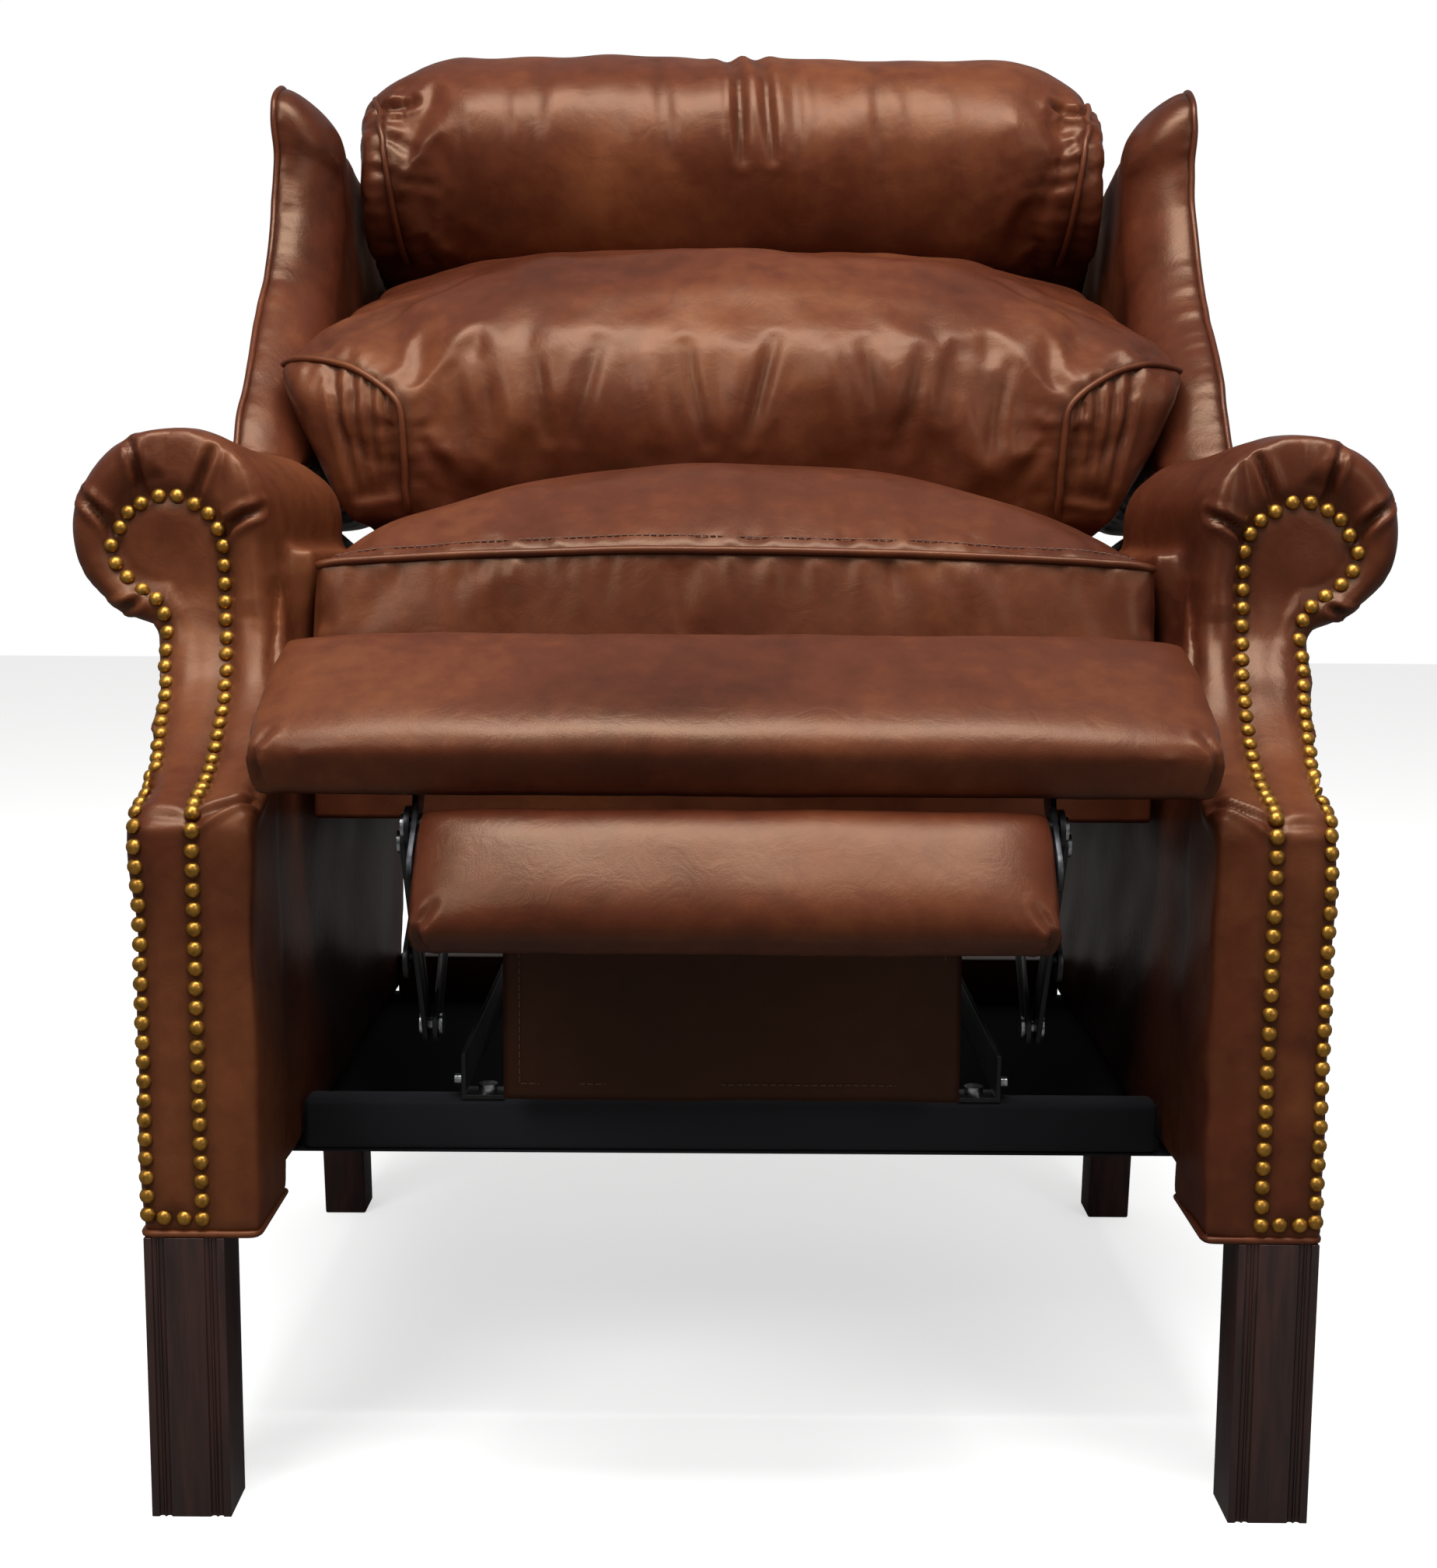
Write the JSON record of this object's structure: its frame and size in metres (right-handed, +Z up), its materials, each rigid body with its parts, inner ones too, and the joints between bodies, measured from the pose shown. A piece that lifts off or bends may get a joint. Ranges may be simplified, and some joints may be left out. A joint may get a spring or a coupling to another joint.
{
  "type": "recliner armchair",
  "caption": "Leather wing-back push-back recliner on square wooden legs, with rolled nail-trimmed arms, boxed seat, two back pillows and a two-pad folding footrest.",
  "frame": {"origin": "on the floor, under the middle of the chair's outline in the part-open pose", "axes": "+X to the viewer's right when the chair is seen from the front, -Y the way the sitter faces, +Z up"},
  "size_m": [0.814, 0.8768, 0.9512],
  "materials": {
    "leg_wood": "satin dark espresso lacquer",
    "brass_nails": "antiqued, domed",
    "black_cambric": "matte woven cloth",
    "frame_wood": "bare sawn hardwood",
    "spring_wire": "oiled wire",
    "deck_cloth": "plain weave",
    "bright_steel": "zinc plated",
    "black_steel": "semi-gloss black",
    "grey_steel": "satin grey",
    "leather": "semi-gloss, hand-antiqued"
  },
  "bodies": {
    "base": {"front_leg_left": "leg_wood", "front_leg_right": "leg_wood", "rear_leg_left": "leg_wood", "rear_leg_right": "leg_wood", "front_rail": "black_cambric", "rear_rail": "frame_wood", "side_rail_left": "frame_wood", "side_rail_right": "frame_wood", "arm_panel_left": "frame_wood", "arm_panel_right": "frame_wood", "arm_inside_left": "leather", "arm_inside_right": "leather", "arm_outside_left": "leather", "arm_outside_right": "leather", "arm_roll_left": "leather", "arm_roll_right": "leather", "arm_front_left": "leather", "arm_front_right": "leather", "nailheads": "brass_nails", "base_plate_left": "black_steel", "base_plate_right": "black_steel", "base_bolts": "bright_steel", "dust_cover": "black_cambric", "tilt_pins": "bright_steel"},
    "seat": {"seat_front_rail": "frame_wood", "seat_rear_rail": "frame_wood", "seat_side_rail_left": "frame_wood", "seat_side_rail_right": "frame_wood", "seat_springs": "spring_wire", "seat_deck": "deck_cloth", "seat_cushion": "leather", "seat_plate_left": "black_steel", "seat_plate_right": "black_steel", "apron": "leather", "link_pins": "bright_steel", "back_pins": "bright_steel"},
    "back": {"back_stile_left": "frame_wood", "back_stile_right": "frame_wood", "back_top_rail": "frame_wood", "back_bottom_rail": "frame_wood", "back_springs": "spring_wire", "inside_back": "leather", "outside_back": "leather", "wing_left": "leather", "wing_right": "leather", "lumbar_pillow": "leather", "head_pillow": "leather", "back_hinge_plates": "black_steel"},
    "lower_links": {"lower_links": "black_steel", "knee_pins": "bright_steel"},
    "upper_links": {"upper_links": "black_steel", "bracket_pins": "bright_steel"},
    "guide_links": {"guide_links": "black_steel"},
    "footrest": {"footrest_board": "frame_wood", "footrest_pad": "leather", "footrest_brackets": "black_steel", "flipper_pins": "bright_steel"},
    "flipper": {"flipper_pad": "leather", "flipper_brackets": "grey_steel"}
  },
  "joints": [
    {"name": "seat_lift", "type": "hinge", "parent": "base", "child": "seat", "pos_m": [0, 0.183, 0.32], "axis": [-1, 0, 0], "range_deg": [-3, 0.45]},
    {"name": "back_recline", "type": "hinge", "parent": "seat", "child": "back", "pos_m": [0, 0.228, 0.395], "axis": [-1, 0, 0], "range_deg": [0, 22]},
    {"name": "footrest_swing", "type": "hinge", "parent": "seat", "child": "lower_links", "pos_m": [0, -0.177, 0.365], "axis": [-1, 0, 0], "range_deg": [-53.59, 8.05]},
    {"name": "knee_fold", "type": "hinge", "parent": "lower_links", "child": "upper_links", "pos_m": [0, -0.264, 0.27], "axis": [-1, 0, 0], "range_deg": [-5.86, 38.98]},
    {"name": "pad_tilt", "type": "hinge", "parent": "upper_links", "child": "footrest", "pos_m": [0, -0.342, 0.395], "axis": [-1, 0, 0], "range_deg": [-46.41, 6.97]},
    {"name": "flipper_fold", "type": "hinge", "parent": "footrest", "child": "flipper", "pos_m": [0, -0.368, 0.408], "axis": [-1, 0, 0], "range_deg": [-1.81, 12.01]},
    {"name": "guide_swing", "type": "hinge", "parent": "seat", "child": "guide_links", "pos_m": [0, -0.21, 0.374], "axis": [-1, 0, 0], "range_deg": [-66.61, 10]}
  ],
  "couplings": [
    {"joint": "footrest_swing", "follows": "seat_lift", "ratio": 17.86},
    {"joint": "knee_fold", "follows": "seat_lift", "ratio": -12.992},
    {"joint": "pad_tilt", "follows": "seat_lift", "ratio": 15.466},
    {"joint": "flipper_fold", "follows": "seat_lift", "ratio": -4},
    {"joint": "guide_swing", "follows": "seat_lift", "ratio": 22.2}
  ]
}
